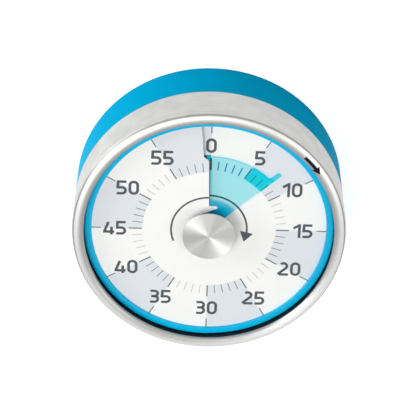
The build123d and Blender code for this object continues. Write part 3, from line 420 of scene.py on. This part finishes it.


def tinted_film():
    """Clear cyan film: each sheet of it tints the light once, and its skin is glossy."""
    made, tree, surface = material("tinted film")
    polar = shared(tree, polar_group)
    radius, angle = polar["Radius"], polar["Angle"]
    started = between(
        tree, angle, radians(FILM_DARK_START), radians(FILM_DARK_START + FILM_DARK_SOFT))
    ended = between(
        tree, angle, radians(FILM_DARK_END), radians(FILM_DARK_END + FILM_DARK_SOFT), 1.0, 0.0)
    outside = between(tree, radius, GREY_INNER, GREY_INNER + PRINT_EDGE)
    dark = maths(tree, "MULTIPLY", maths(tree, "MULTIPLY", started, ended), outside)
    rim = maths(tree, "MULTIPLY",
        between(tree, radius, DISC_R - 0.3 * MM, DISC_R - 0.05 * MM, 0.0, 0.6),
        between(tree, radius, DISC_R + 0.1 * MM, DISC_R + 0.6 * MM, 1.0, 0.1))
    finger = between(tree, radius, DISC_R + 0.3 * MM, DISC_R + 1.0 * MM)
    cloud = shared(tree, mottle_group, Scale=150.0)["Cloud"]
    tint = mixed(tree, cloud, *FILM_CLEAR)
    for share, layer in ((dark, FILM_DARK), (rim, FILM_RIM), (finger, FILM_FINGER)):
        tint = mixed(tree, share, tint, layer)
    leaving = node(tree, "NewGeometry").outputs["Backfacing"]
    passed = mixed(tree, leaving, tint, (1, 1, 1, 1))
    through = node(tree, "BsdfTransparent", None, {"Color": passed})
    # The film round its hub is painted with the knob's shadow; printed here means inside this
    # painted shadow.
    printed = between(tree, radius, *HUB_SHADOW_SPAN, 1.0, 0.0)
    shade = between(tree, radius, *HUB_SHADE)
    hub_shadow_blue = mixed(tree, shade, colour(0, 158, 210), colour(10, 206, 250))
    pale_body = mixed(tree, dark, colour(90, 214, 244), colour(0, 176, 226))
    body = node(tree, "BsdfPrincipled", None, {
        "Base Color": mixed(tree, printed, pale_body, hub_shadow_blue), "IOR": 1.2, "Roughness": 0.3})
    share = between(tree, printed, 0.0, 1.0, FILM_BODY, HUB_SHADOW_BODY)
    tree.links.new(blended(tree, share, through.outputs[0], body.outputs[0]), surface)
    return made


def clear_lens():
    """Clear coated sheet: it lets light straight through, and mirrors at a glancing angle."""
    made, tree, surface = material("clear lens")
    through = node(tree, "BsdfTransparent", None, {"Color": (0.998, 0.999, 0.998, 1)})
    skin = node(tree, "BsdfPrincipled", None, {
        "Base Color": (0.95, 0.97, 1.0, 1), "Metallic": 1.0, "Roughness": 0.03})
    slant = node(tree, "LayerWeight", None, {"Blend": 0.5}).outputs["Facing"]
    mirror = maths(tree, "MULTIPLY_ADD", maths(tree, "POWER", slant, 5.0), 0.9, 0.001)
    tree.links.new(blended(tree, mirror, through.outputs[0], skin.outputs[0]), surface)
    return made


finishes = {
    "blue_plastic": plastic(
        "blue plastic", colour(0, 180, 228), colour(0, 174, 222), 0.36, index=1.02),
    "black_plastic": plastic("black plastic", colour(24, 30, 36), colour(18, 22, 28), 0.4),
    "cyan_film": tinted_film(),
    "clear_lens": clear_lens(),
    "dial_white": printed_dial(),
    "brushed_steel": ring_steel(),
    "polished_steel": metal("polished bell steel", (0.82, 0.82, 0.82, 1), 0.06, 0.12),
    "plain_steel": metal("turned steel", (0.62, 0.62, 0.63, 1), 0.22, 0.34, INSIDE_LINES),
    "brass": metal("rolled brass", (0.80, 0.62, 0.30, 1), 0.2, 0.32, INSIDE_LINES),
    "magnet": plastic("pressed ferrite", colour(74, 74, 76), colour(58, 58, 60), 0.6, 400.0),
}
spun_steel = spun_metal()
rim_plastic = plastic(
    "glossy blue rim", colour(0, 194, 242), colour(0, 188, 236), 0.24, index=1.3)
dark_ink = ink("dark ink", colour(86, 90, 96))
pale_ink = ink("pale ink", colour(196, 196, 190), colour(125, 133, 141))
tick_ink = ink("tick ink", colour(100, 105, 111), colour(94, 100, 107))
blue_ink = ink("blue ink", colour(20, 128, 188))
arrow_ink = ink("arrow ink", colour(8, 14, 24))
# Not ink: painted cyan light on the white strip under the slot.
lap_film_light = ink("painted film light under the slot", colour(40, 236, 255))


def dress(made, finish):
    """Gives a piece one material."""
    made.data.materials.clear()
    made.data.materials.append(finish)


for part in frame["record"]["subparts"]:
    dress(frame["nodes"][part["node"]], finishes[part["material_slot"]])
dress(frame["nodes"]["knob"], spun_steel)
dress(frame["nodes"]["dial_frame"], rim_plastic)


# ---- the pen that draws the print ----

def nib(mesh, start, heading, width):
    """One edge across the start of a stroke."""
    across = Matrix.Rotation(radians(heading), 3, "Z") @ Vector((0, width / 2, 0))
    return mesh.edges.new((mesh.verts.new(start + across), mesh.verts.new(start - across)))


def last_edge(made):
    """The first edge among what an operator made."""
    return next(item for item in made if isinstance(item, bmesh.types.BMEdge))


def draw(mesh, start, heading, moves, width):
    """Draws a stroke: a move is a length, or (radius, degrees) for an arc, positive to the left."""
    place = Vector(start).to_3d()
    edge = nib(mesh, place, heading, width)
    for move in moves:
        ahead = Matrix.Rotation(radians(heading), 3, "Z") @ Vector((1, 0, 0))
        if isinstance(move, tuple):
            radius, angle = move
            side = Vector((-ahead.y, ahead.x, 0)) * (radius if angle > 0 else -radius)
            centre = place + side
            steps = ceil(abs(angle) / ARC_STEP)
            turned = bmesh.ops.spin(
                mesh, geom=[edge], cent=centre, axis=(0, 0, 1), angle=radians(angle), steps=steps)
            edge = last_edge(turned["geom_last"])
            place = centre - Matrix.Rotation(radians(angle), 3, "Z") @ side
            heading += angle
        else:
            pulled = bmesh.ops.extrude_edge_only(mesh, edges=[edge])["geom"]
            corners = [item for item in pulled if isinstance(item, bmesh.types.BMVert)]
            bmesh.ops.translate(mesh, verts=corners, vec=ahead * move)
            edge = next(
                item for item in pulled
                if isinstance(item, bmesh.types.BMEdge) and all(v in corners for v in item.verts))
            place = place + ahead * move


def thicken(mesh, depth):
    """Makes a flat print solid: its faces rise by depth and walls close it."""
    bmesh.ops.remove_doubles(mesh, verts=mesh.verts, dist=0.001 * MM)
    raised = bmesh.ops.extrude_face_region(mesh, geom=mesh.faces[:], use_keep_orig=True)["geom"]
    tops = [item for item in raised if isinstance(item, bmesh.types.BMVert)]
    bmesh.ops.translate(mesh, verts=tops, vec=(0, 0, depth))
    bmesh.ops.recalc_face_normals(mesh, faces=mesh.faces)


def lay(mesh, angle):
    """Lets a print follow the spiral dial; angle says which end of the dial it is on."""
    for vert in mesh.verts:
        around = degrees(atan2(vert.co.x, vert.co.y)) - angle
        around -= 360 * round(around / 360)
        vert.co.z += dial_height(angle + around) - INK_SINK


def add(name, data):
    """A new object in the scene."""
    made = bpy.data.objects.new(name, data)
    bpy.context.scene.collection.objects.link(made)
    return made


def piece(name, meshes, body, finish):
    """One object out of finished meshes, riding on a body."""
    data = bpy.data.meshes.new(name)
    whole = bmesh.new()
    for mesh in meshes:
        mesh.to_mesh(data)
        mesh.free()
        whole.from_mesh(data)
    whole.to_mesh(data)
    whole.free()
    made = add(name, data)
    dress(made, finish)
    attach(made, body)
    return made


# ---- numerals ----
# Each digit is a list of strokes (start, heading, moves) in a box DIGIT_H high, in millimetres.

DIGIT_H = NUMERAL_H / MM
DIGIT_W = {"0": 3.05, "1": 2.3, "2": 2.75, "3": 2.75, "4": 3.25, "5": 2.95}
DIGIT_GAP = NUMERAL_GAP / MM
HALF = NUMERAL_STROKE / MM / 2
TOP = DIGIT_H - HALF          # middle of a stroke along the top
CURL_R, CURL = 2.4, 14        # radius and degrees of the curl at the loose ends of 3 and 5
CURL_ACROSS = CURL_R * sin(radians(CURL))
CURL_UP = CURL_R * (1 - cos(radians(CURL)))


def zero_strokes(width):
    corner = 1.12
    flat = width / 2 - HALF - corner
    side = DIGIT_H - 2 * HALF - 2 * corner
    return [((width / 2, TOP), 0, [
        flat, (corner, -90), side, (corner, -90), 2 * flat,
        (corner, -90), side, (corner, -90), flat])]


def one_strokes(width):
    stem = width - HALF
    return [((stem, 0), 90, [DIGIT_H]), ((0.15, 3.25), 31, [1.75])]


def two_strokes(width):
    bowl = 0.98
    centre = width - 0.1 - HALF - bowl
    lead_r, lead = 1.3, 40    # curve that leads into the bowl
    start = (centre - lead_r * sin(radians(lead)), TOP - lead_r * (1 - cos(radians(lead))))
    fall = 138                # degrees of the bowl, before the diagonal
    drop = TOP - bowl - bowl * cos(radians(180 - fall)) - 0.5
    diagonal = drop / sin(radians(180 - fall))
    return [
        (start, lead, [(lead_r, -lead), (bowl, -fall), diagonal]),
        ((0.0, HALF), 0, [width - 0.05])]


def three_strokes(width):
    waist = DIGIT_H * 0.51
    upper = (TOP - waist) / 2
    lower = (waist - HALF) / 2
    upper_run = width - 0.05 - HALF - upper - 0.1 - CURL_ACROSS
    lower_run = width - HALF - lower - 0.05 - CURL_ACROSS
    return [
        ((0.1, TOP - CURL_UP), CURL, [(CURL_R, -CURL), upper_run, (upper, -180), 1.0]),
        ((0.6, waist), 0, [
            width - HALF - lower - 0.6, (lower, -180), lower_run, (CURL_R, -CURL)])]


def four_strokes(width):
    bar = 0.95
    return [((0.32, bar), 69.5, [3.55]), ((0.0, bar), 0, [width]), ((2.42, 0), 90, [2.65])]


def five_strokes(width):
    bowl_top = 2.42
    bowl = (bowl_top - HALF) / 2
    centre = width - HALF - bowl
    run = centre - 0.05 - CURL_ACROSS
    return [
        ((width - 0.12, TOP), 180, [width - 0.24]),
        ((0.46, TOP), 267, [TOP - bowl_top + HALF]),
        ((0.06, bowl_top - 0.06), 2, [centre - 0.06, (bowl, -182), run, (CURL_R, -CURL)])]


DIGITS = {
    "0": zero_strokes, "1": one_strokes, "2": two_strokes,
    "3": three_strokes, "4": four_strokes, "5": five_strokes}


def to_metres(move):
    """A pen's move, from millimetres."""
    return (move[0] * MM, move[1]) if isinstance(move, tuple) else move * MM


def numeral(text, angle):
    """An upright number centred on the numeral circle."""
    mesh = bmesh.new()
    length = sum(DIGIT_W[digit] for digit in text) + DIGIT_GAP * (len(text) - 1)
    across = -length / 2
    for digit in text:
        for start, heading, moves in DIGITS[digit](DIGIT_W[digit]):
            place = Vector((start[0] + across, start[1] - DIGIT_H / 2)) * MM
            draw(mesh, place, heading, [to_metres(move) for move in moves], NUMERAL_STROKE)
        across += DIGIT_W[digit] + DIGIT_GAP
    nudge = Vector((*NUMERAL_NUDGE.get(text, (0, 0)), 0)) * MM
    bmesh.ops.translate(mesh, verts=mesh.verts, vec=on_dial(NUMERAL_CIRCLE, angle) + nudge)
    thicken(mesh, INK_T + INK_SINK)
    lay(mesh, angle)
    return mesh


piece("dial_numerals", [
    numeral(str(five), MINUTE * five) for five in range(0, 60, 5)],
    "case", dark_ink)


# ---- ticks ----

def tick(inner, length, width, angle):
    """A radial mark."""
    mesh = bmesh.new()
    draw(mesh, on_dial(inner, angle), 90 - angle, [length], width)
    thicken(mesh, INK_T + INK_SINK)
    lay(mesh, angle)
    return mesh


piece("minute_ticks", [
    tick(TICK_INNER, *MINUTE_TICK, MINUTE * minute) for minute in range(5, 60) if minute % 5],
    "case", pale_ink)
piece("first_minute_ticks", [
    tick(TICK_INNER, *BLUE_TICK, MINUTE * minute) for minute in range(1, 5)],
    "case", blue_ink)
piece("five_minute_ticks", [
    tick(TICK_INNER, *FIVE_TICK, MINUTE * five) for five in range(5, 60, 5)],
    "case", tick_ink)
piece("zero_tick", [tick(TICK_INNER, *ZERO_TICK, 0)], "case", dark_ink)
rim_tick_length = dial_r - RIM_TICK_INNER
piece("rim_ticks", [
    tick(RIM_TICK_INNER, rim_tick_length, RIM_TICK_W, MINUTE * five)
    for five in range(0, 60, 5)],
    "case", tick_ink)


# ---- low end of the dial, where it runs on under the slot ----

def slot_lap():
    """A strip of the sheet before 0, level with its low end and carried by that end's edge.

    Its cyan is painted light: the light that comes through the film.
    """
    mesh = bmesh.new()
    bmesh.ops.create_grid(mesh, x_segments=24, y_segments=3, size=0.5)
    for vert in mesh.verts:
        along, around = vert.co.x + 0.5, vert.co.y - 0.5
        radius = SLOT_INNER + along * (DISC_R - SLOT_INNER)
        vert.co = on_dial(radius, around * SLOT_LAP)
    thicken(mesh, INK_T)
    for vert in mesh.verts:
        around = degrees(atan2(vert.co.x, vert.co.y))
        vert.co.z += dial_height(around) - INK_T
    return mesh


piece("slot_lap", [slot_lap()], "case", lap_film_light)


# ---- arrow round the knob ----

def arc_print(start, end):
    """A stretch of the arrow's line, clockwise from one dial angle to another."""
    mesh = bmesh.new()
    draw(mesh, on_dial(TURN_ARROW_R, start), -start, [(TURN_ARROW_R, start - end)], TURN_ARROW_W)
    thicken(mesh, INK_T + INK_SINK)
    lay(mesh, (start + end) / 2)
    return mesh


def arrow_head(start, end, radius, half_width):
    """A triangle pointing clockwise, from the middle of its base to its point."""
    mesh = bmesh.new()
    base, point = on_dial(radius, start), on_dial(radius, end)
    across = (point - base).normalized().cross((0, 0, 1)) * half_width
    mesh.faces.new([mesh.verts.new(corner) for corner in (base - across, base + across, point)])
    thicken(mesh, INK_T + INK_SINK)
    lay(mesh, (start + end) / 2)
    return mesh


piece("turn_arrow", [
    arc_print(TURN_ARROW_START, TURN_ARROW_BREAK), arc_print(0, TURN_ARROW_END),
    arrow_head(TURN_ARROW_END, TURN_HEAD_END, TURN_ARROW_R, TURN_HEAD_HALF_W)],
    "case", dark_ink)


# ---- arrow on the steel ring ----

def bead_height(radius):
    """Height of the bead's surface at a radius, on either side of its crest."""
    crest_r = body_r - BEAD_W / 2
    fall = BEAD_DROP if radius > crest_r else BEAD_RISE
    share = min(abs(radius - crest_r) / (BEAD_W / 2), 0.999)
    return ring_top - fall * (1 - sqrt(1 - share**2))


def ring_arrow():
    """A straight arrow wrapped round the ring and over its bead."""
    mesh = bmesh.new()
    shaft = RING_ARROW_LENGTH - RING_HEAD_LENGTH
    bmesh.ops.create_grid(mesh, x_segments=16, y_segments=6, size=0.5)
    bmesh.ops.scale(mesh, verts=mesh.verts, vec=(shaft, RING_ARROW_W, 1))
    bmesh.ops.translate(mesh, verts=mesh.verts, vec=(shaft / 2, 0, 0))
    base = [mesh.verts.new((shaft, side * RING_HEAD_W / 2, 0)) for side in (-1, 1)]
    point = mesh.verts.new((RING_ARROW_LENGTH, 0, 0))
    head = mesh.faces.new((*base, point))
    bmesh.ops.subdivide_edges(mesh, edges=head.edges[:], cuts=7, use_grid_fill=True)
    bmesh.ops.recalc_face_normals(mesh, faces=mesh.faces)
    thicken(mesh, INK_T + INK_SINK)
    for vert in mesh.verts:
        along, across, rise = vert.co
        radius = RING_ARROW_R + across
        angle = RING_ARROW_START + degrees(along / RING_ARROW_R)
        vert.co = on_dial(radius, angle)
        vert.co.z = bead_height(radius) - INK_SINK + rise
    bmesh.ops.recalc_face_normals(mesh, faces=mesh.faces)
    return mesh


piece("ring_arrow", [ring_arrow()], "head", arrow_ink)


# ---- floor, lamps and camera ----

FLOOR_SIZE = 3.0
FLOOR_LEVEL = 0.6             # floor's own colour
FLOOR_LIFT = 0.71             # what is added for the eye, so that a lit floor is just white
FLOOR_GAP = 0.02 * MM         # keeps the floor off the back of the case
SEEN_UNDER = 2.0 * MM         # light within this of the floor passes it, so that the back is lit
WORLD_SOFT = 0.3              # light from all round

LAMPS = {                     # place, size and power, in metres and watts
    "key_lamp": ((-0.45, -0.04, 0.9), 0.55, 4.2),
    "side_lamp": ((-0.9, 0.35, 0.3), 0.4, 4.8),
    "fill_lamp": ((0.6, 0.0, 0.75), 0.5, 1.6),
    "overhead_lamp": ((0.0, 0.35, 0.97), 0.6, 1.4)}

FOCAL_LENGTH = 163.8          # in millimetres, as is the sensor's width
SENSOR_W = 36
CAMERA_DISTANCE = 552.4 * MM
CAMERA_TILT = 30.779          # off the dial's axis, towards its 0
CAMERA_TURN = -1.285          # round the dial's axis
CAMERA_ROLL = 0.258
AIM_HEIGHT = 27.8 * MM        # widest part of the bead
AIM_OFFSET = (0.260 * MM, -7.391 * MM)        # where the aim lies off the middle of the image


def seen_straight(tree, path):
    """1 for what the camera, a mirror or glass sees, and 0 for light on its way."""
    seen = maths(tree, "MAXIMUM", path["Is Camera Ray"], path["Is Glossy Ray"])
    return maths(tree, "MAXIMUM", seen, path["Is Transmission Ray"])


def floor_material():
    """Pale floor that the eye, metal and glass see as white, with the object's shadow on it.

    From below it is clear, so that the back of the case can be seen.
    """
    made, tree, surface = material("studio floor")
    paint = node(tree, "BsdfDiffuse", None, {"Color": (FLOOR_LEVEL, FLOOR_LEVEL, FLOOR_LEVEL, 1)})
    path = node(tree, "LightPath").outputs
    strength = maths(tree, "MULTIPLY", seen_straight(tree, path), FLOOR_LIFT)
    lift = node(tree, "Emission", None, {"Strength": strength})
    both = node(tree, "AddShader", None, {0: paint.outputs[0], 1: lift.outputs[0]})
    clear = node(tree, "BsdfTransparent")
    below = node(tree, "NewGeometry").outputs["Backfacing"]
    near = maths(tree, "LESS_THAN", path["Ray Length"], SEEN_UNDER)
    passed = maths(tree, "MAXIMUM", below, near)
    tree.links.new(blended(tree, passed, both.outputs[0], clear.outputs[0]), surface)
    return made


def make_floor():
    """A square sheet just under the timer."""
    mesh = bmesh.new()
    bmesh.ops.create_grid(mesh, x_segments=1, y_segments=1, size=FLOOR_SIZE / 2)
    bmesh.ops.translate(mesh, verts=mesh.verts, vec=(0, 0, -FLOOR_GAP))
    data = bpy.data.meshes.new("studio_floor")
    mesh.to_mesh(data)
    mesh.free()
    floor = add("studio_floor", data)
    dress(floor, floor_material())


def make_world():
    """Soft grey studio for light, white for the eye."""
    world = bpy.data.worlds.new("studio")
    bpy.context.scene.world = world
    world.use_nodes = True
    tree = world.node_tree
    tree.nodes.clear()
    path = node(tree, "LightPath").outputs
    strength = between(tree, seen_straight(tree, path), 0.0, 1.0, WORLD_SOFT, 1.0)
    sky = node(tree, "Background", None, {"Color": (1, 1, 1, 1), "Strength": strength})
    out = tree.nodes.new("ShaderNodeOutputWorld")
    tree.links.new(sky.outputs[0], out.inputs["Surface"])


def make_lamp(name, place, size, power):
    """A square lamp that points at the timer."""
    data = bpy.data.lights.new(name, "AREA")
    data.size = size
    data.energy = power
    lamp = add(name, data)
    lamp.location = place
    lamp.rotation_euler = (-Vector(place)).to_track_quat("-Z", "Y").to_euler()


def make_camera():
    """A long lens, tilted off the dial's axis."""
    tilt, turn, roll = radians(CAMERA_TILT), radians(CAMERA_TURN), radians(CAMERA_ROLL)
    back = Vector((sin(turn) * sin(tilt), cos(turn) * sin(tilt), cos(tilt)))
    up = Vector((sin(turn) * cos(tilt), cos(turn) * cos(tilt), -sin(tilt)))
    right = up.cross(back)
    rolled_right = cos(roll) * right + sin(roll) * up
    rolled_up = cos(roll) * up - sin(roll) * right
    aim = Vector((0, 0, AIM_HEIGHT))
    aside, above = AIM_OFFSET
    place = aim + back * CAMERA_DISTANCE - rolled_right * aside - rolled_up * above
    data = bpy.data.cameras.new("camera")
    data.lens = FOCAL_LENGTH
    data.sensor_width = SENSOR_W
    camera = add("camera", data)
    axes = Matrix((rolled_right, rolled_up, back)).transposed()
    camera.matrix_world = Matrix.Translation(place) @ axes.to_4x4()
    bpy.context.scene.camera = camera


make_floor()
make_world()
for lamp_name, settings in LAMPS.items():
    make_lamp(lamp_name, *settings)
make_camera()
bpy.context.scene.view_settings.view_transform = "Standard"

bpy.context.view_layer.update()
